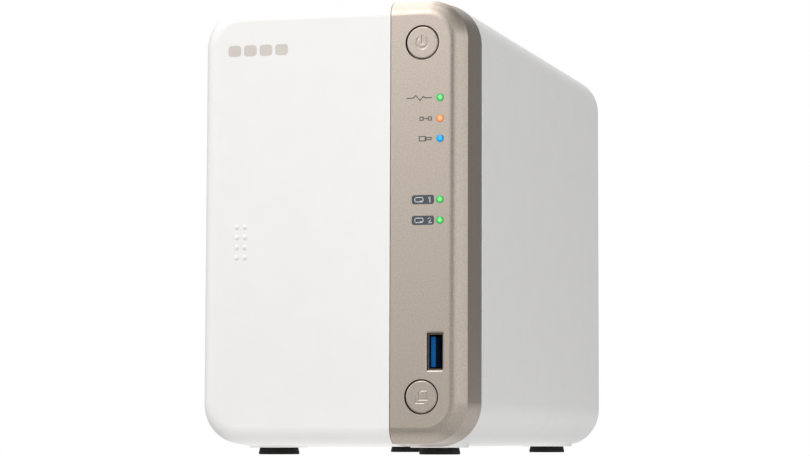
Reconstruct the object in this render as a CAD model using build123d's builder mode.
from build123d import *
import os
from math import asin, atan, cos, degrees, hypot, radians, sin, tan

os.makedirs("parts", exist_ok=True)

# Two-bay network attached storage, in millimetres. Front faces -Y, +X is the right side seen from the front,
# Z = 0 is the surface that it stands on.

# Enclosure
width = 104.0
depth = 226.0
height = 168.5
foot_height = 2.6
underside_z = 3.0
case_height = height - underside_z
case_mid_z = underside_z + case_height / 2
case_corner = 16.0
case_wall = 2.0
edge_round = 1.0

# Front bezel: one tapered block that a seam divides into the removable cover and the control strip
grip_height = 0.4
face_y = grip_height - depth / 2
bezel_depth = 20.0
bezel_rear_y = face_y + bezel_depth
bezel_draw_in = 1.4
bezel_wall = 2.2
bevel_across = 2.4
bevel_along = 4.5
bevel_inner_round = 5.6
bevel_outer_round = 0.4
seam_x = 22.6
body_gap = 0.3
sleeve_front_y = bezel_rear_y + body_gap

# Frame behind the bezel
frame_inset = 3.2
frame_thickness = 3.5
frame_front_y = sleeve_front_y - frame_thickness
collar_length = 8.0
collar_wall = 2.0

# Drives and trays, standing on edge side by side
drive_length = 147.0
drive_height = 101.6
drive_thickness = 26.1
bay_x = (-29.8, 3.8)
bay_mid_x = sum(bay_x) / 2
bay_z = 84.0
tray_front_width = 32.4
tray_height = 112.0
tray_plate = 2.8
tray_plate_y = -98.0
tray_width = 29.0
tray_web = 1.6
rail_thickness = 3.6
drive_front_y = -92.0
drive_rear_y = drive_front_y + drive_length
drive_mid_y = (drive_front_y + drive_rear_y) / 2
tray_rear_y = 48.0

# Tray handle
handle_width = 29.6
handle_height = 104.0
handle_thickness = 7.5
handle_front_y = -108.9
handle_pivot_y = -101.8
handle_pivot_z = 33.5
pin_radius = 1.2
pin_clearance = 0.05

# Chassis
sheet = 1.2
cage_left_x = -48.6
cage_right_x = 22.0
cage_bottom_z = 26.2
cage_top_z = 141.8
cage_front_y = -84.0
cage_rear_y = 58.0

# Rear panel and fan
panel_rear_y = depth / 2 - 2.0
panel_front_y = panel_rear_y - sheet
fan_x = -14.0
fan_z = 104.0
fan_size = 70.0
fan_depth = 25.0
fan_bore = 33.0
fan_hole_pitch = 61.5
fan_hub = 14.0

# Boards
board_thickness = 1.6
main_board_x = 26.4
front_board_y = -98.0
backplane_y = 63.0

# Controls on the strip
button_radius = 6.0
button_ring = 0.45
power_button_xz = (34.7, 151.2)
copy_button_xz = (34.6, 21.1)
light_x = 41.6
light_radius = 1.45
lights = {"status_light": 130.6, "network_light": 122.9, "port_light": 115.5, "drive_light_1": 93.1,
          "drive_light_2": 85.5}
port_xz = (39.7, 37.5)


def across(y):
    """Plane across the object at y: X to the right, Z up, extruding towards the front."""
    return Plane.XZ.offset(-y)


def side(x):
    """Plane along the object at x: Y to the right, Z up, extruding towards +X."""
    return Plane.YZ.offset(x)


def block(x0, x1, y0, y1, z0, z1, mode=Mode.ADD):
    """Box between two corners, in the active part."""
    with BuildSketch(across(y1), mode=Mode.PRIVATE) as outline:
        with Locations(((x0 + x1) / 2, (z0 + z1) / 2)):
            Rectangle(x1 - x0, z1 - z0)
    return extrude(outline.sketch, amount=y1 - y0, mode=mode)


def save(part, name):
    """Label a finished piece and write its file."""
    part.label = name
    export_step(part, f"parts/{name}.step")


# ---------------------------------------------------------------- sleeve and feet

foot_x = 31.9
foot_y = {"front": -78.0, "rear": 95.7}
foot_top_radius = 7.3
foot_bottom_radius = 7.9
foot_places = {f"foot_{end}_{hand}": (x, y) for end, y in foot_y.items() for hand, x in
               (("left", -foot_x), ("right", foot_x))}
boss_radius = 11.0
land_depth = 0.5
land_gap = 0.6
land_corner = 1.0
land_length = 2.6
land_count = 4
land_pitch = 26.0
land_height = 25.2
land_mid_z = 80.0
lug_size = 8.0
lug_depth = 6.0
lug_x = 30.0
sleeve_lugs = [(x, z) for x in (-lug_x, lug_x) for z in
               (underside_z + case_wall + lug_size / 2, height - case_wall - lug_size / 2)]
screw_radius = 1.5
vent_slot = (30.0, 2.4)
vent_pitch = (36.0, 6.0)
foot_round = 0.5

with BuildPart() as case_sleeve:
    with BuildSketch(across(depth / 2)):
        with Locations((0, case_mid_z)):
            RectangleRounded(width, case_height, case_corner)
    extrude(amount=depth / 2 - sleeve_front_y)
    fillet(case_sleeve.faces().sort_by(Axis.Y)[-1].edges(), edge_round)
    with BuildSketch(Plane.XY.offset(foot_height)):
        with Locations(*foot_places.values()):
            Circle(boss_radius)
    extrude(amount=2 * case_wall)
    with BuildSketch(across(depth / 2)):
        with Locations((0, case_mid_z)):
            RectangleRounded(width - 2 * case_wall, case_height - 2 * case_wall, case_corner - case_wall)
    extrude(amount=depth, mode=Mode.SUBTRACT)
    # Lugs that take the rear panel's screws
    for x, z in sleeve_lugs:
        outward = 1 if z > case_mid_z else -1
        z_wall = z + outward * (lug_size / 2 + case_wall / 2)
        z_in = z - outward * lug_size / 2
        block(x - lug_size / 2, x + lug_size / 2, panel_front_y - lug_depth, panel_front_y,
              *sorted((z_in, z_wall)))
    with BuildSketch(across(depth / 2)):
        with Locations(*sleeve_lugs):
            Circle(screw_radius)
    extrude(amount=depth / 4, mode=Mode.SUBTRACT)
    # Shallow lands behind the bezel, on both sides
    for x in (width / 2 - land_depth, -width / 2):
        with BuildSketch(side(x)):
            with Locations((sleeve_front_y + land_gap + land_length / 2, land_mid_z)):
                with GridLocations(0, land_pitch, 1, land_count):
                    RectangleRounded(land_length, land_height, land_corner)
        extrude(amount=land_depth, mode=Mode.SUBTRACT)
    # Air inlets in the underside
    with BuildSketch(Plane.XY.offset(underside_z)):
        with GridLocations(*vent_pitch, 2, 16):
            SlotOverall(*vent_slot)
    extrude(amount=2 * case_wall, mode=Mode.SUBTRACT)
save(case_sleeve.part, "case_sleeve")

for foot_name, (x, y) in foot_places.items():
    with BuildPart() as foot:
        with Locations((x, y, foot_height / 2)):
            Cone(foot_bottom_radius, foot_top_radius, foot_height)
        fillet(foot.edges().group_by(Axis.Z)[0], foot_round)
    save(foot.part, foot_name)

# ---------------------------------------------------------------- cover and control strip

bezel_taper = degrees(atan(bezel_draw_in / bezel_depth))
bevel_inset = 0.45
crease_band = 0.1
grip_columns = (-37.0, -33.9)
grip_low_z = 73.0
grip_pitch = 3.8
grip_rows = [grip_low_z + grip_pitch * row for row in range(4)]
grip_radius = 1.02
grip_sphere = (grip_radius ** 2 + grip_height ** 2) / (2 * grip_height)
cover_lugs = [(x, z) for x in (-38.0, 10.0) for z in (12.2, 159.3)]
cover_lug_width = 6.0
cover_lug_height = 1.6
cover_lug_end_y = frame_front_y + 2.3


def bezel_block(inset, mode):
    """Tapered block of the bezel with its bevelled front edge, drawn in by inset all over."""
    with BuildSketch(across(bezel_rear_y), mode=Mode.PRIVATE) as outline:
        with Locations((0, case_mid_z)):
            RectangleRounded(width - 2 * inset, case_height - 2 * inset, case_corner - inset)
    piece = extrude(outline.sketch, amount=bezel_depth - inset, taper=bezel_taper, mode=Mode.PRIVATE)
    face = piece.faces().sort_by(Axis.Y)[0]
    along = bevel_along - bevel_inset * inset
    piece = piece.chamfer(bevel_across - bevel_inset * inset, along, face.edges(), face)
    if inset == 0:
        piece = piece.fillet(bevel_inner_round, piece.faces().sort_by(Axis.Y)[0].edges())
        crease = piece.edges().filter_by_position(Axis.Y, face_y + along - crease_band,
                                                     face_y + along + crease_band)
        piece = piece.fillet(bevel_outer_round, crease)
    add(piece, mode=mode)


with BuildPart() as front_cover:
    bezel_block(0, Mode.ADD)
    with Locations(*[(x, face_y - grip_height + grip_sphere, z) for x in grip_columns for z in grip_rows]):
        Sphere(grip_sphere)
    bezel_block(bezel_wall, Mode.SUBTRACT)
    split(bisect_by=side(seam_x - body_gap / 2), keep=Keep.BOTTOM)
    for x, z in cover_lugs:
        block(x - cover_lug_width / 2, x + cover_lug_width / 2, face_y + bezel_wall / 2, cover_lug_end_y,
              z - cover_lug_height / 2, z + cover_lug_height / 2)
save(front_cover.part, "front_cover")

port_opening = (6.3, 13.7)
port_bevel_depth = 0.3
port_bevel_angle = 60.0
port_corner = 0.5
port_guide = 1.2
button_guide = 1.6
guide_depth = 4.2
collar_end_y = face_y + guide_depth
seam_wall = 1.6
seam_wall_inset = 8.0

with BuildPart() as control_strip:
    bezel_block(0, Mode.ADD)
    bezel_block(bezel_wall, Mode.SUBTRACT)
    split(bisect_by=side(seam_x + body_gap / 2), keep=Keep.TOP)
    # Wall along the seam, back to the bezel frame
    seam_wall_x = seam_x + body_gap / 2
    block(seam_wall_x, seam_wall_x + seam_wall, face_y + bezel_wall / 2, frame_front_y,
          underside_z + seam_wall_inset, height - seam_wall_inset)
    # Guides round the two buttons and the data port
    with BuildSketch(across(collar_end_y)):
        with Locations(power_button_xz, copy_button_xz):
            Circle(button_radius + button_guide)
        with Locations(port_xz):
            Rectangle(port_opening[0] + 2 * port_guide, port_opening[1] + 2 * port_guide)
    extrude(amount=collar_end_y - face_y - bezel_wall / 2)
    with BuildSketch(across(collar_end_y)):
        with Locations(power_button_xz, copy_button_xz):
            Circle(button_radius + button_ring)
        with Locations(*[(light_x, z) for z in lights.values()]):
            Circle(light_radius)
        with Locations(port_xz):
            RectangleRounded(*port_opening, port_corner)
    extrude(amount=bezel_depth, mode=Mode.SUBTRACT)
    # Bevelled mouth of the data port
    with BuildSketch(across(face_y + port_bevel_depth)):
        with Locations(port_xz):
            RectangleRounded(*port_opening, port_corner)
    extrude(amount=port_bevel_depth, taper=-port_bevel_angle, mode=Mode.SUBTRACT)
save(control_strip.part, "control_strip")

# ---------------------------------------------------------------- buttons and light pipes

button_face_y = face_y + 0.1
button_round = 0.5
flange_front_y = collar_end_y + 0.9
flange_rear_y = flange_front_y + 1.0
flange_radius = button_radius + 1.2
stem_radius = 2.0
stem_end_y = front_board_y - 5.1
engraving = 0.075
engraving_slope = 75.5
engraving_run = engraving * tan(radians(engraving_slope))
mark_radius = 2.65
mark_line = 1.05
mark_gap = asin(1.2 / (mark_radius - mark_line / 2))
mark_bar = 3.4


def button_body(place):
    """Cap, retaining flange and stem of a button."""
    for y0, y1, radius in ((button_face_y, flange_front_y, button_radius),
                           (flange_front_y, flange_rear_y, flange_radius),
                           (flange_rear_y, stem_end_y, stem_radius)):
        with BuildSketch(across(y1)) as outline:
            with Locations(place):
                Circle(radius)
        extrude(outline.sketch, amount=y1 - y0)


with BuildPart() as power_button:
    button_body(power_button_xz)
    fillet(power_button.faces().sort_by(Axis.Y)[0].edges(), button_round)
    # Open ring with a bar: the usual standby mark
    ring_plane = Plane(origin=(power_button_xz[0], button_face_y, power_button_xz[1]),
                       x_dir=(sin(mark_gap), 0, cos(mark_gap)), z_dir=(-cos(mark_gap), 0, sin(mark_gap)))
    with BuildSketch(ring_plane):
        with BuildLine():
            Polyline((mark_radius - mark_line, 0), (mark_radius, 0),
                     (mark_radius - engraving_run, engraving),
                     (mark_radius - mark_line + engraving_run, engraving), close=True)
        make_face()
    revolve(axis=Axis(ring_plane.origin, (0, 1, 0)), revolution_arc=360 - 2 * degrees(mark_gap),
            mode=Mode.SUBTRACT)
    with BuildSketch(across(button_face_y)):
        with Locations(power_button_xz):
            with Locations((0, mark_radius - mark_bar / 2)):
                Rectangle(mark_line, mark_bar)
    extrude(amount=-engraving, taper=engraving_slope, mode=Mode.SUBTRACT)
save(power_button.part, "power_button")

sheet_size = (3.6, 3.9)
sheet_line = 0.6
sheet_offset = (0.58, 0.6)
sheet_clip = 1.0
sheet_gap = 0.35


def sheet_blank(grow, mode):
    """One sheet of the copy mark with its clipped corner, grown by a margin, in the active sketch."""
    with BuildSketch(mode=Mode.PRIVATE) as blank:
        Rectangle(sheet_size[0] + 2 * grow, sheet_size[1] + 2 * grow)
        chamfer(blank.vertices().sort_by(Axis.X)[:2].sort_by(Axis.Y)[-1], sheet_clip + grow / 2)
    add(blank.sketch, mode=mode)


with BuildPart() as copy_button:
    button_body(copy_button_xz)
    fillet(copy_button.faces().sort_by(Axis.Y)[0].edges(), button_round)
    # Two overlapping sheets, the front one upper right
    with BuildSketch(across(button_face_y)):
        with Locations(copy_button_xz):
            with Locations((-sheet_offset[0], -sheet_offset[1])):
                sheet_blank(0, Mode.ADD)
                sheet_blank(-sheet_line, Mode.SUBTRACT)
            with Locations(sheet_offset):
                sheet_blank(sheet_gap, Mode.SUBTRACT)
                sheet_blank(0, Mode.ADD)
                sheet_blank(-sheet_line, Mode.SUBTRACT)
    extrude(amount=-engraving, taper=engraving_slope, mode=Mode.SUBTRACT)
save(copy_button.part, "copy_button")

pipe_rear_y = front_board_y - 1.0
pipe_front_y = face_y + 0.05

for light_name, z in lights.items():
    with BuildPart() as light_pipe:
        with BuildSketch(across(pipe_rear_y)):
            with Locations((light_x, z)):
                Circle(light_radius)
        extrude(amount=pipe_rear_y - pipe_front_y)
    save(light_pipe.part, light_name)

# ---------------------------------------------------------------- front board

front_board_x = (25.4, 47.6)
front_board_z = (14.0, 158.0)
port_shell = (6.1, 13.5)
port_shell_corner = 0.5
port_steel = 0.5
port_face_y = face_y + 1.5
port_back = 1.2
tongue_x = (port_xz[0] - 2.15, port_xz[0] - 0.45)
tongue_half = 5.5
key_size = 6.0
key_height = 3.4
key_cap = 1.7
key_cap_height = 0.5
board_hole = 1.3
board_screw = 1.2
board_screw_head = 2.3
board_head_height = 1.4
front_screw_places = [(28.5, 30.0), (44.0, 76.0), (28.5, 140.0)]

with BuildPart() as front_board:
    with BuildSketch(across(front_board_y + board_thickness)):
        with Locations((sum(front_board_x) / 2, sum(front_board_z) / 2)):
            Rectangle(front_board_x[1] - front_board_x[0], front_board_z[1] - front_board_z[0])
        with Locations(*front_screw_places):
            Circle(board_hole, mode=Mode.SUBTRACT)
    extrude(amount=board_thickness)
save(front_board.part, "front_board")

with BuildPart() as key_switches:
    for x, z in (power_button_xz, copy_button_xz):
        block(x - key_size / 2, x + key_size / 2, front_board_y - key_height, front_board_y,
              z - key_size / 2, z + key_size / 2)
        with BuildSketch(across(front_board_y - key_height)):
            with Locations((x, z)):
                Circle(key_cap)
        extrude(amount=key_cap_height)
save(key_switches.part, "key_switches")

with BuildPart() as front_screws:
    with BuildSketch(across(front_board_y)):
        with Locations(*front_screw_places):
            Circle(board_screw)
    extrude(amount=-board_thickness)
    with BuildSketch(across(front_board_y)):
        with Locations(*front_screw_places):
            Circle(board_screw_head)
    extrude(amount=board_head_height)
save(front_screws.part, "front_screws")

with BuildPart() as front_port_shell:
    with BuildSketch(across(front_board_y)):
        with Locations(port_xz):
            RectangleRounded(*port_shell, port_shell_corner)
    extrude(amount=front_board_y - port_face_y)
    with BuildSketch(across(port_face_y)):
        with Locations(port_xz):
            Rectangle(port_shell[0] - 2 * port_steel, port_shell[1] - 2 * port_steel)
    extrude(amount=port_face_y - front_board_y + port_back, mode=Mode.SUBTRACT)
save(front_port_shell.part, "front_port_shell")

with BuildPart() as front_port_tongue:
    block(*tongue_x, port_face_y + port_back, front_board_y - port_back, port_xz[1] - tongue_half,
          port_xz[1] + tongue_half)
save(front_port_tongue.part, "front_port_tongue")

# ---------------------------------------------------------------- bezel frame

bay_slack = 0.6
bay_opening_x = (bay_x[0] - tray_front_width / 2 - bay_slack, bay_x[1] + tray_front_width / 2 + bay_slack)
bay_opening_z = (bay_z - tray_height / 2 - bay_slack, bay_z + tray_height / 2 + bay_slack)
collar_inset = case_wall + collar_wall
slot_slack_left = 3.2
slot_slack_right = 0.6
slot_slack_z = 0.5
strip_opening_x = (27.0, 45.0)
strip_opening_z = (22.0, 150.0)

with BuildPart() as bezel_frame:
    with BuildSketch(across(sleeve_front_y)):
        with Locations((0, case_mid_z)):
            RectangleRounded(width - 2 * frame_inset, case_height - 2 * frame_inset,
                             case_corner - frame_inset)
    extrude(amount=frame_thickness)
    with BuildSketch(across(sleeve_front_y + collar_length)):
        with Locations((0, case_mid_z)):
            RectangleRounded(width - 2 * case_wall, case_height - 2 * case_wall, case_corner - case_wall)
            RectangleRounded(width - 2 * collar_inset, case_height - 2 * collar_inset,
                             case_corner - collar_inset, mode=Mode.SUBTRACT)
    extrude(amount=collar_length)
    block(*bay_opening_x, frame_front_y, sleeve_front_y, *bay_opening_z, mode=Mode.SUBTRACT)
    block(*strip_opening_x, frame_front_y, sleeve_front_y, *strip_opening_z, mode=Mode.SUBTRACT)
    # Slots for the cover's lugs, wide enough to the left for the cover to slide out
    for x, z in cover_lugs:
        half_width = cover_lug_width / 2
        half_height = cover_lug_height / 2 + slot_slack_z
        block(x - half_width - slot_slack_left, x + half_width + slot_slack_right, frame_front_y,
              sleeve_front_y, z - half_height, z + half_height, mode=Mode.SUBTRACT)
save(bezel_frame.part, "bezel_frame")

# ---------------------------------------------------------------- chassis and guides

tail_tab_height = 10.0
tail_screw_places = [(-40.0, 31.6), (14.0, 31.6)]
standoff_places = [(y, z) for y in (-58.0, 48.0) for z in (36.0, 132.0)]
wall_window = (34.0, 70.0, 5.0)
wall_window_pitch = 44.0

with BuildPart() as chassis:
    block(cage_left_x, cage_right_x, cage_front_y, cage_rear_y, cage_bottom_z, cage_top_z)
    block(cage_left_x + sheet, cage_right_x - sheet, cage_front_y, cage_rear_y, cage_bottom_z + sheet,
          cage_top_z - sheet, mode=Mode.SUBTRACT)
    # Tail under the fan, folded up against the rear panel
    block(cage_left_x, cage_right_x, cage_rear_y, panel_front_y, cage_bottom_z, cage_bottom_z + sheet)
    block(cage_left_x, cage_right_x, panel_front_y - sheet, panel_front_y, cage_bottom_z,
          cage_bottom_z + tail_tab_height)
    with BuildSketch(across(panel_front_y)):
        with Locations(*tail_screw_places):
            Circle(screw_radius)
    extrude(amount=sheet, mode=Mode.SUBTRACT)
    # Lightening windows in both side walls
    with BuildSketch(side(cage_left_x)):
        with Locations(((cage_front_y + cage_rear_y) / 2, bay_z)):
            with GridLocations(wall_window_pitch, 0, 3, 1):
                RectangleRounded(*wall_window)
    extrude(amount=cage_right_x - cage_left_x, mode=Mode.SUBTRACT)
save(chassis.part, "chassis")

guide_base = (cage_bottom_z + sheet, cage_top_z - sheet)
guide_thickness = 1.4
rib_width = 1.6
rib_height = 5.0
guide_width = tray_width - 3.0
guide_bridge = 9.2
guide_rear_y = cage_rear_y - 12.0

with BuildPart() as tray_guides:
    for z, inward in ((guide_base[0], 1), (guide_base[1], -1)):
        z_face = z + inward * guide_thickness
        z_rib = z_face + inward * rib_height
        z_base = sorted((z, z_face))
        for x in bay_x:
            block(x - guide_width / 2, x + guide_width / 2, cage_front_y, guide_rear_y, *z_base)
        block(bay_mid_x - guide_bridge / 2, bay_mid_x + guide_bridge / 2, cage_front_y, guide_rear_y,
              *z_base)
        block(bay_mid_x - rib_width / 2, bay_mid_x + rib_width / 2, cage_front_y, guide_rear_y,
              *sorted((z_face, z_rib)))
save(tray_guides.part, "tray_guides")

# ---------------------------------------------------------------- trays, handles and drives

rail_gap = 0.4
tray_side_gap = 0.55
ear_width = 1.1
ear_half = 3.5
ear_y = -104.6
air_slot = (18.0, 3.0)
air_slot_pitch = (6.0, 22.0)
air_slot_lift = 4.0
web_window = (36.0, 84.0, 4.0)
web_window_pitch = 46.0
handle_round = 2.0
handle_edge = 1.0
handle_wall = 2.0
handle_skin = 2.4
grille_slot = (18.0, 2.8)
grille_slot_pitch = (5.2, 22.0)
finger_notch = (14.0, 8.0)
handle_below_pin = 3.2
heel_height = 6.0
screw_reach = 2.6
seat_slack = 0.2
thread_slack = 0.1
drive_board = 1.2
drive_lid = 1.0
plug_z = 62.0
plug_length = 42.0
plug_blade = 1.2
plug_depth = 4.0
plug_lip = 2.0
blade_reach = 3.4
plug_recess = 7.0
drive_round = 2.0
drive_hole_depth = 3.0
lid_size = (drive_length - 14.0, drive_height - 4.0)
lid_shift = -4.0
lid_corner = 6.0
spindle_radius = 5.0
spindle_shift = -22.0
circuit_size = (60.0, drive_height - 12.0)
circuit_shift = -34.0
circuit_notch = (24.0, 30.0)
circuit_notch_place = (-30.0, 30.0)
screw_y = (-60.0, 28.0)
head_radius = 2.7
head_depth = 1.8

for number, x in enumerate(bay_x, start=1):
    body_x0 = x - drive_thickness / 2 - tray_side_gap - tray_web
    body_x1 = body_x0 + tray_width
    rail_z = (bay_z - drive_height / 2 - rail_gap - rail_thickness, bay_z + drive_height / 2 + rail_gap)
    with BuildPart() as tray:
        block(x - tray_front_width / 2, x + tray_front_width / 2, tray_plate_y, tray_plate_y + tray_plate,
              bay_z - tray_height / 2, bay_z + tray_height / 2)
        for z in rail_z:
            block(body_x0, body_x1, tray_plate_y + tray_plate, tray_rear_y, z, z + rail_thickness)
        block(body_x0, body_x0 + tray_web, tray_plate_y + tray_plate, tray_rear_y, rail_z[0],
              rail_z[1] + rail_thickness)
        # Ears for the hinge pin
        for ear_x in (x - tray_front_width / 2, x + tray_front_width / 2 - ear_width):
            block(ear_x, ear_x + ear_width, ear_y, tray_plate_y, handle_pivot_z - ear_half,
                  handle_pivot_z + ear_half)
        with BuildSketch(side(x - tray_front_width / 2)):
            with Locations((handle_pivot_y, handle_pivot_z)):
                Circle(pin_radius)
        extrude(amount=tray_front_width, mode=Mode.SUBTRACT)
        # Air slots in the front plate, windows in the side web
        with BuildSketch(across(tray_plate_y + tray_plate)):
            with Locations((x, bay_z + air_slot_lift)):
                with GridLocations(*air_slot_pitch, 4, 4):
                    SlotOverall(*air_slot, rotation=90)
        extrude(amount=tray_plate, mode=Mode.SUBTRACT)
        with BuildSketch(side(body_x0)):
            with Locations(((tray_plate_y + tray_rear_y) / 2, bay_z)):
                with GridLocations(web_window_pitch, 0, 3, 1):
                    RectangleRounded(*web_window)
        extrude(amount=tray_web, mode=Mode.SUBTRACT)
        # Sunk seats for the drive screws
        for z, head_z in ((rail_z[0], rail_z[0]), (rail_z[1], rail_z[1] + rail_thickness - head_depth)):
            with BuildSketch(Plane.XY.offset(z)):
                with Locations(*[(x, y) for y in screw_y]):
                    Circle(screw_radius)
            extrude(amount=rail_thickness, mode=Mode.SUBTRACT)
            with BuildSketch(Plane.XY.offset(head_z)):
                with Locations(*[(x, y) for y in screw_y]):
                    Circle(head_radius + seat_slack)
            extrude(amount=head_depth, mode=Mode.SUBTRACT)
    save(tray.part, f"tray_{number}")

    with BuildPart() as tray_screws:
        low_z = rail_z[0] + seat_slack
        high_z = rail_z[1] + rail_thickness
        for z0, z1, head_z in ((low_z, bay_z - drive_height / 2 + screw_reach, low_z),
                               (bay_z + drive_height / 2 - screw_reach, high_z - seat_slack,
                                high_z - head_depth)):
            with BuildSketch(Plane.XY.offset(z0)):
                with Locations(*[(x, y) for y in screw_y]):
                    Circle(screw_radius - thread_slack)
            extrude(amount=z1 - z0)
            with BuildSketch(Plane.XY.offset(head_z)):
                with Locations(*[(x, y) for y in screw_y]):
                    Circle(head_radius)
            extrude(amount=head_depth - seat_slack)
    save(tray_screws.part, f"tray_screws_{number}")

    with BuildPart() as handle_pin:
        with BuildSketch(side(x - tray_front_width / 2)):
            with Locations((handle_pivot_y, handle_pivot_z)):
                Circle(pin_radius)
        extrude(amount=tray_front_width)
    save(handle_pin.part, f"handle_pin_{number}")

    handle_z0 = handle_pivot_z - handle_below_pin
    with BuildPart() as tray_handle:
        block(x - handle_width / 2, x + handle_width / 2, handle_front_y, handle_front_y + handle_thickness,
              handle_z0, handle_z0 + handle_height)
        fillet(tray_handle.edges().filter_by(Axis.Y), handle_round)
        fillet(tray_handle.faces().sort_by(Axis.Y)[0].edges(), handle_edge)
        # Hollow back, open grille, finger notch at the top, round heel about the pin
        block(x - handle_width / 2 + handle_wall, x + handle_width / 2 - handle_wall,
              handle_front_y + handle_skin, handle_front_y + handle_thickness, handle_pivot_z + heel_height,
              handle_z0 + handle_height - handle_wall, mode=Mode.SUBTRACT)
        with BuildSketch(across(handle_front_y + handle_thickness)):
            with Locations((x, bay_z - air_slot_lift)):
                with GridLocations(*grille_slot_pitch, 4, 3):
                    SlotOverall(*grille_slot, rotation=90)
            with Locations((x, handle_z0 + handle_height)):
                SlotOverall(*finger_notch)
        extrude(amount=handle_thickness, mode=Mode.SUBTRACT)
        with BuildSketch(side(x - handle_width / 2)):
            with Locations((handle_pivot_y, handle_pivot_z)):
                Circle(pin_radius + pin_clearance)
        extrude(amount=handle_width, mode=Mode.SUBTRACT)
    save(tray_handle.part, f"tray_handle_{number}")

    drive_z0 = bay_z - drive_height / 2
    drive_z1 = bay_z + drive_height / 2
    board_x = x - drive_thickness / 2
    lid_x = x + drive_thickness / 2 - drive_lid
    with BuildPart() as drive_body:
        block(board_x + drive_board, lid_x, drive_front_y, drive_rear_y, drive_z0, drive_z1)
        fillet(drive_body.edges().filter_by(Axis.X), drive_round)
        for z, y in [(z, y) for z in (drive_z0, drive_z1) for y in screw_y]:
            into = 1 if z == drive_z0 else -1
            with BuildSketch(Plane.XY.offset(z)):
                with Locations((x, y)):
                    Circle(screw_radius)
            extrude(amount=into * drive_hole_depth, mode=Mode.SUBTRACT)
        block(board_x + drive_board, board_x + plug_recess, drive_rear_y - plug_depth, drive_rear_y,
              plug_z - plug_length / 2 - plug_lip, plug_z + plug_length / 2 + plug_lip, mode=Mode.SUBTRACT)
    save(drive_body.part, f"drive_body_{number}")

    with BuildPart() as drive_cover:
        with BuildSketch(side(lid_x)):
            with Locations((drive_mid_y + lid_shift, bay_z)):
                RectangleRounded(*lid_size, lid_corner)
            with Locations((drive_mid_y + spindle_shift, bay_z)):
                Circle(spindle_radius, mode=Mode.SUBTRACT)
        extrude(amount=drive_lid)
    save(drive_cover.part, f"drive_lid_{number}")

    with BuildPart() as drive_circuit:
        with BuildSketch(side(board_x)):
            with Locations((drive_rear_y + circuit_shift, bay_z)):
                Rectangle(*circuit_size)
                with Locations(circuit_notch_place):
                    Rectangle(*circuit_notch, mode=Mode.SUBTRACT)
        extrude(amount=drive_board)
        # Blade that the backplane's socket takes
        block(board_x, board_x + plug_blade, drive_rear_y - plug_depth, drive_rear_y + blade_reach,
              plug_z - plug_length / 2, plug_z + plug_length / 2)
    save(drive_circuit.part, f"drive_board_{number}")

# ---------------------------------------------------------------- backplane

socket_depth = 7.6
socket_mouth = 5.0
plug_slack = 0.4
backplane_x = (-46.0, 24.4)
backplane_z = (30.0, 138.0)
link_x = (21.6, main_board_x)
link_z = (66.0, 110.0)
link_lip = 2.6
air_window = (25.0, 42.0, 2.0)
air_window_pitch = 31.0
air_window_lift = 6.0
socket_x = (-3.0, 5.0)
socket_lip = 3.0

with BuildPart() as backplane:
    with BuildSketch(across(backplane_y + board_thickness)):
        with Locations((sum(backplane_x) / 2, sum(backplane_z) / 2)):
            Rectangle(backplane_x[1] - backplane_x[0], backplane_z[1] - backplane_z[0])
        with Locations((fan_x, fan_z + air_window_lift)):
            with GridLocations(air_window_pitch, 0, 2, 1):
                RectangleRounded(*air_window, mode=Mode.SUBTRACT)
    extrude(amount=board_thickness)
save(backplane.part, "backplane")

with BuildPart() as drive_sockets:
    for x in bay_x:
        blade_x = x - drive_thickness / 2
        half_plug = plug_length / 2
        mouth_y = backplane_y - socket_depth
        block(blade_x + socket_x[0], blade_x + socket_x[1], mouth_y, backplane_y,
              plug_z - half_plug - socket_lip, plug_z + half_plug + socket_lip)
        block(blade_x - plug_slack, blade_x + plug_blade + plug_slack, mouth_y, mouth_y + socket_mouth,
              plug_z - half_plug - plug_slack, plug_z + half_plug + plug_slack, mode=Mode.SUBTRACT)
save(drive_sockets.part, "drive_sockets")

with BuildPart() as link_socket:
    block(*link_x, backplane_y - link_lip, backplane_y + board_thickness + link_lip, *link_z)
    block(link_x[0], backplane_x[1], backplane_y, backplane_y + board_thickness, *link_z, mode=Mode.SUBTRACT)
save(link_socket.part, "link_socket")

# ---------------------------------------------------------------- main board

component_x = main_board_x + board_thickness
main_board_y = (-72.0, 108.4)
main_board_z = (16.0, 156.0)
standoff_radius = 3.0
thread_radius = 1.5
thread_start_x = cage_right_x + 1.0
standoff_head = 2.8
standoff_head_height = 1.8

with BuildPart() as main_board:
    with BuildSketch(side(main_board_x)):
        with Locations((sum(main_board_y) / 2, sum(main_board_z) / 2)):
            Rectangle(main_board_y[1] - main_board_y[0], main_board_z[1] - main_board_z[0])
        with Locations(*standoff_places):
            Circle(thread_radius, mode=Mode.SUBTRACT)
    extrude(amount=board_thickness)
save(main_board.part, "main_board")

with BuildPart() as standoffs:
    with BuildSketch(side(cage_right_x)):
        with Locations(*standoff_places):
            RegularPolygon(standoff_radius, 6)
            Circle(thread_radius, mode=Mode.SUBTRACT)
    extrude(amount=main_board_x - cage_right_x)
save(standoffs.part, "standoffs")

with BuildPart() as board_screws:
    with BuildSketch(side(thread_start_x)):
        with Locations(*standoff_places):
            Circle(thread_radius)
    extrude(amount=component_x - thread_start_x)
    with BuildSketch(side(component_x)):
        with Locations(*standoff_places):
            Circle(standoff_head)
    extrude(amount=standoff_head_height)
save(board_screws.part, "board_screws")

heatsink_yz = (8.0, 92.0)
heatsink_size = 42.0
heatsink_base = 3.0
fin_count = 9
fin_thickness = 1.4
fin_height = 10.0
processor_size = 26.0
processor_height = 2.2
heatsink_x = component_x + processor_height

with BuildPart() as processor:
    with BuildSketch(side(component_x)):
        with Locations(heatsink_yz):
            Rectangle(processor_size, processor_size)
    extrude(amount=processor_height)
save(processor.part, "processor")

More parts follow.
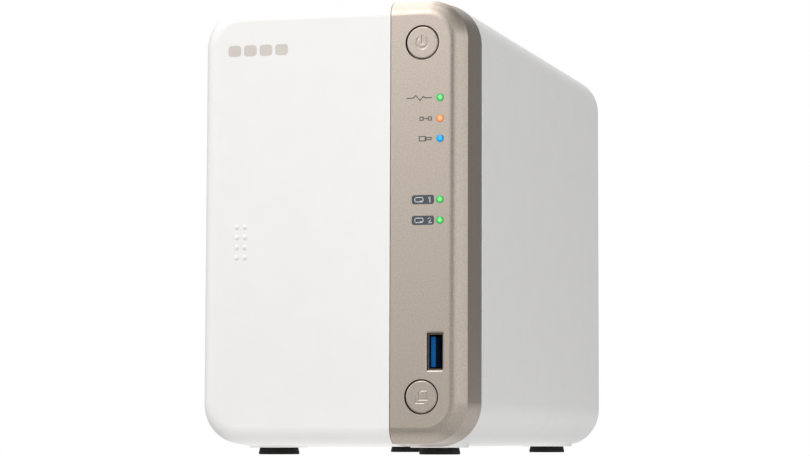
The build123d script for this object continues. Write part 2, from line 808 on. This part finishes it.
with BuildPart() as heatsink:
    with BuildSketch(side(heatsink_x)):
        with Locations(heatsink_yz):
            Rectangle(heatsink_size, heatsink_size)
    extrude(amount=heatsink_base)
    with BuildSketch(side(heatsink_x + heatsink_base)):
        with Locations(heatsink_yz):
            with GridLocations(0, (heatsink_size - fin_thickness) / (fin_count - 1), 1, fin_count):
                Rectangle(heatsink_size, fin_thickness)
    extrude(amount=fin_height)
save(heatsink.part, "heatsink")

memory_yz = (-43.0, 92.0)
memory_size = (30.0, 67.6)
memory_x = component_x + 3.2
memory_thickness = 1.2
chip_size = (9.0, 12.0)
chip_pitch = 16.0
chip_shift = 2.0

with BuildPart() as memory_module:
    with BuildSketch(side(memory_x)):
        with Locations(memory_yz):
            Rectangle(*memory_size)
    extrude(amount=memory_thickness)
    with BuildSketch(side(memory_x + memory_thickness)):
        with Locations((memory_yz[0] + chip_shift, memory_yz[1])):
            with GridLocations(0, chip_pitch, 1, 4):
                Rectangle(*chip_size)
    extrude(amount=memory_thickness)
save(memory_module.part, "memory_module")

coin_cell_yz = (70.0, 60.0)
coin_cell_radius = 10.0
coin_cell_height = 3.2
coin_cell_lift = 1.0

with BuildPart() as coin_cell:
    with BuildSketch(side(component_x + coin_cell_lift)):
        with Locations(coin_cell_yz):
            Circle(coin_cell_radius)
    extrude(amount=coin_cell_height)
save(coin_cell.part, "coin_cell")

capacitor_pitch = 10.0
capacitor_height = 8.0
tall_radius = 4.0
small_radius = 3.2
tall_bank_yz = (16.0, 136.0)
small_bank_yz = (-16.0, 40.0)

with BuildPart() as capacitors:
    with BuildSketch(side(component_x)):
        with Locations(tall_bank_yz):
            with GridLocations(capacitor_pitch, capacitor_pitch, 3, 2):
                Circle(tall_radius)
        with Locations(small_bank_yz):
            with GridLocations(capacitor_pitch, capacitor_pitch, 2, 2):
                Circle(small_radius)
    extrude(amount=capacitor_height)
save(capacitors.part, "capacitors")

# ---------------------------------------------------------------- rear sockets

network_size = (13.6, 16.0)
network_depth = 21.0
network_z = (57.0, 38.5)
network_corner = 0.3
plug_mouth_depth = 14.0
plug_steps = ((-0.8, (7.4, 11.8)), (3.6, (1.6, 6.4)), (5.0, (1.4, 4.0)))
data_size = (7.0, 14.6)
data_depth = 17.6
data_z = (98.0, 80.6)
data_corner = 0.6
data_mouth = (5.1, 12.6)
data_mouth_depth = 12.0
data_tongue = (2.0, 11.2)
data_tongue_shift = -0.7
tongue_set_back = 1.2
video_size = (6.0, 15.0)
video_z = 113.6
video_depth = 12.0
video_mouth_size = (4.5, 14.0)
video_mouth_x = component_x + 2.95
video_bevel = 1.8
video_mouth_depth = 9.0
video_tongue = (1.0, 10.0)
audio_size = 11.2
audio_z = (149.8, 138.4, 127.0)
audio_x = component_x + audio_size / 2
audio_bore = 1.8
audio_ring = 3.9
audio_depth = 12.0
audio_proud = 0.7
inlet_size = (9.0, 11.0)
inlet_z = 22.0
inlet_depth = 14.0
inlet_bore = 3.2
inlet_pin = 1.2
inlet_bore_depth = 10.0
reset_xz = (component_x + 8.0, 69.1)
socket_face_y = panel_rear_y + 0.5


def socket_body(size, z, depth_in, radius):
    """Body of a socket that stands on the main board and looks out of the rear panel."""
    with BuildSketch(across(socket_face_y)) as outline:
        with Locations((component_x + size[0] / 2, z)):
            RectangleRounded(*size, radius)
    extrude(outline.sketch, amount=depth_in)


with BuildPart() as network_sockets:
    middle_x = component_x + network_size[0] / 2
    for z in network_z:
        socket_body(network_size, z, network_depth, network_corner)
        with BuildSketch(across(socket_face_y)):
            for offset, step in plug_steps:
                with Locations((middle_x + offset, z)):
                    Rectangle(*step)
        extrude(amount=plug_mouth_depth, mode=Mode.SUBTRACT)
save(network_sockets.part, "network_sockets")

with BuildPart() as rear_data_ports:
    for z in data_z:
        socket_body(data_size, z, data_depth, data_corner)
        with BuildSketch(across(socket_face_y)):
            with Locations((component_x + data_size[0] / 2, z)):
                Rectangle(*data_mouth)
        extrude(amount=data_mouth_depth, mode=Mode.SUBTRACT)
save(rear_data_ports.part, "rear_data_ports")

with BuildPart() as data_tongues:
    with BuildSketch(across(socket_face_y - tongue_set_back)):
        with Locations(*[(component_x + data_size[0] / 2 + data_tongue_shift, z) for z in data_z]):
            Rectangle(*data_tongue)
    extrude(amount=data_mouth_depth - tongue_set_back)
save(data_tongues.part, "rear_data_tongues")

with BuildPart() as video_port:
    socket_body(video_size, video_z, video_depth, data_corner)
    with BuildSketch(across(socket_face_y)):
        with Locations((video_mouth_x, video_z)):
            video_mouth = Rectangle(*video_mouth_size)
        chamfer(video_mouth.vertices().group_by(Axis.X)[-1], video_bevel)
    extrude(amount=video_mouth_depth, mode=Mode.SUBTRACT)
    with BuildSketch(across(socket_face_y - tongue_set_back)):
        with Locations((video_mouth_x, video_z)):
            Rectangle(*video_tongue)
    extrude(amount=video_mouth_depth - tongue_set_back)
save(video_port.part, "video_port")

with BuildPart() as audio_jacks:
    for z in audio_z:
        block(component_x, component_x + audio_size, panel_front_y - audio_depth, panel_front_y,
              z - audio_size / 2, z + audio_size / 2)
        with BuildSketch(across(panel_front_y)):
            with Locations((audio_x, z)):
                Circle(audio_ring)
        extrude(amount=panel_front_y - socket_face_y - audio_proud)
        with BuildSketch(across(socket_face_y + audio_proud)):
            with Locations((audio_x, z)):
                Circle(audio_bore)
        extrude(amount=audio_depth, mode=Mode.SUBTRACT)
save(audio_jacks.part, "audio_jacks")

with BuildPart() as power_inlet:
    socket_body(inlet_size, inlet_z, inlet_depth, network_corner)
    with BuildSketch(across(socket_face_y)):
        with Locations((component_x + inlet_size[0] / 2, inlet_z)):
            Circle(inlet_bore)
            Circle(inlet_pin, mode=Mode.SUBTRACT)
    extrude(amount=inlet_bore_depth, mode=Mode.SUBTRACT)
save(power_inlet.part, "power_inlet")

reset_hole = 1.3
reset_half = 3.0
reset_switch_y = (panel_front_y - 9.0, panel_front_y - 4.4)
reset_cap_y = panel_front_y - 3.4
reset_cap_radius = 1.9
reset_cap_length = 2.6

with BuildPart() as reset_switch:
    block(component_x, reset_xz[0] + reset_half, *reset_switch_y, reset_xz[1] - reset_half,
          reset_xz[1] + reset_half)
save(reset_switch.part, "reset_switch")

with BuildPart() as reset_button:
    with BuildSketch(across(reset_cap_y)):
        with Locations(reset_xz):
            Circle(reset_cap_radius)
    extrude(amount=-reset_cap_length)
save(reset_button.part, "reset_button")

# ---------------------------------------------------------------- fan

blade_count = 7
blade_root = 11.0
blade_tip = 30.0
blade_thickness = 1.5
blade_root_half = (5.6, 8.0)
blade_tip_half = (8.2, 5.2)
rotor_mid_y = panel_front_y - fan_depth / 2 - 2.0
spokes_depth = 3.0
corner_reach = fan_hole_pitch / 2
fan_corners = [(x, z) for x in (fan_x - corner_reach, fan_x + corner_reach) for z in
               (fan_z - corner_reach, fan_z + corner_reach)]
shaft_radius = 1.5
shaft_slack = 0.05
frame_corner = 5.0
frame_hole = 2.15
seat_radius = fan_hub + 1.0
spoke_size = (fan_bore - 12.0, 3.2)
spoke_radius = fan_bore / 2 + 7.0
bearing_radius = 4.0
bearing_length = 11.0
hub_depth = 16.0
hub_hollow = 13.0
hub_wall = 1.4

with BuildPart() as fan_frame:
    with BuildSketch(across(panel_front_y)):
        with Locations((fan_x, fan_z)):
            RectangleRounded(fan_size, fan_size, frame_corner)
            Circle(fan_bore, mode=Mode.SUBTRACT)
        with Locations(*fan_corners):
            Circle(frame_hole, mode=Mode.SUBTRACT)
    extrude(amount=fan_depth)
    # Motor seat on four spokes, next to the grille
    with BuildSketch(across(panel_front_y)):
        with Locations((fan_x, fan_z)):
            Circle(seat_radius)
            with PolarLocations(spoke_radius, 4, start_angle=45):
                Rectangle(*spoke_size)
    extrude(amount=spokes_depth)
    with BuildSketch(across(panel_front_y - spokes_depth)):
        with Locations((fan_x, fan_z)):
            Circle(bearing_radius)
    extrude(amount=bearing_length)
    with BuildSketch(across(panel_front_y - spokes_depth / 3)):
        with Locations((fan_x, fan_z)):
            Circle(shaft_radius + shaft_slack)
    extrude(amount=fan_depth, mode=Mode.SUBTRACT)
save(fan_frame.part, "fan_frame")


def blade_profile(radius, half):
    """Slanted section of a blade, on a plane square to its radius."""
    tangent, axial = half
    direction = Vector(tangent, axial).normalized()
    normal = Vector(-direction.Y, direction.X) * (blade_thickness / 2)
    corners = [(sign_a * tangent + sign_n * normal.X, sign_a * axial + sign_n * normal.Y)
               for sign_a, sign_n in ((-1, -1), (1, -1), (1, 1), (-1, 1))]
    with BuildSketch(Plane.YZ.offset(radius)) as profile:
        with BuildLine():
            Polyline(*corners, close=True)
        make_face()
    return profile.sketch


with BuildPart() as fan_blade:
    loft([blade_profile(blade_root, blade_root_half), blade_profile(blade_tip, blade_tip_half)])

with BuildPart() as fan_rotor:
    Cylinder(fan_hub, hub_depth)
    with PolarLocations(0, blade_count):
        add(fan_blade.part)
    with Locations((0, 0, (hub_hollow - hub_depth) / 2)):
        Cylinder(fan_hub - hub_wall, hub_hollow, mode=Mode.SUBTRACT)
        Cylinder(shaft_radius, hub_hollow)
fan_place = Plane(origin=(fan_x, rotor_mid_y, fan_z), x_dir=(1, 0, 0), z_dir=(0, -1, 0)).location
save(fan_rotor.part.moved(fan_place), "fan_rotor")

# ---------------------------------------------------------------- rear panel and its screws

grille_pitch = 4.7
grille_hole = 2.2
grille_radius = fan_bore - 1.5
grille_count = 17
panel_slack = 0.2
panel_inset = case_wall + panel_slack
lock_xz = (-14.0, 50.0)
lock_slot = (7.0, 3.0)
fan_screw_hole = 2.0

grid = HexLocations(grille_pitch / 2, grille_count, grille_count, major_radius=False).local_locations
grille = [place for place in grid if hypot(place.position.X, place.position.Y) < grille_radius - grille_hole]


def port_cutout(size, z):
    """Opening round one socket."""
    with Locations((component_x + size[0] / 2, z)):
        Rectangle(size[0] + 2 * panel_slack, size[1] + 2 * panel_slack, mode=Mode.SUBTRACT)


with BuildPart() as rear_panel:
    with BuildSketch(across(panel_rear_y)):
        with Locations((0, case_mid_z)):
            RectangleRounded(width - 2 * panel_inset, case_height - 2 * panel_inset,
                             case_corner - panel_inset)
        with Locations((fan_x, fan_z)):
            with Locations(*grille):
                RegularPolygon(grille_hole, 6, mode=Mode.SUBTRACT)
        with Locations(*fan_corners):
            Circle(fan_screw_hole, mode=Mode.SUBTRACT)
        with Locations(*sleeve_lugs, *tail_screw_places):
            Circle(screw_radius, mode=Mode.SUBTRACT)
        with Locations(lock_xz):
            SlotOverall(*lock_slot, mode=Mode.SUBTRACT)
        for z in network_z:
            port_cutout(network_size, z)
        for z in data_z:
            port_cutout(data_size, z)
        port_cutout(video_size, video_z)
        port_cutout(inlet_size, inlet_z)
        with Locations(*[(audio_x, z) for z in audio_z]):
            Circle(audio_ring + panel_slack, mode=Mode.SUBTRACT)
        with Locations(reset_xz):
            Circle(reset_hole, mode=Mode.SUBTRACT)
    extrude(amount=sheet)
save(rear_panel.part, "rear_panel")

head_height = 1.5
cross_slot = 0.7
fan_screw = (1.95, 3.3, 9.0)
sleeve_screw = (screw_radius, 2.9, lug_depth)
tail_screw = (screw_radius, 2.9, 2 * sheet)


def rear_screw_group(places, shank, head, length):
    """Pan-head screws through the rear panel, in the active part."""
    for radius, amount in ((shank, length), (head, -head_height)):
        with BuildSketch(across(panel_rear_y)) as outline:
            with Locations(*places):
                Circle(radius)
        extrude(outline.sketch, amount=amount)
    with BuildSketch(across(panel_rear_y + head_height)) as recess:
        with Locations(*places):
            Rectangle(head, cross_slot)
            Rectangle(cross_slot, head)
    extrude(recess.sketch, amount=head_height / 2, mode=Mode.SUBTRACT)


with BuildPart() as fan_screws:
    rear_screw_group(fan_corners, *fan_screw)
save(fan_screws.part, "fan_screws")

with BuildPart() as panel_screws:
    rear_screw_group(sleeve_lugs, *sleeve_screw)
    rear_screw_group(tail_screw_places, *tail_screw)
save(panel_screws.part, "panel_screws")
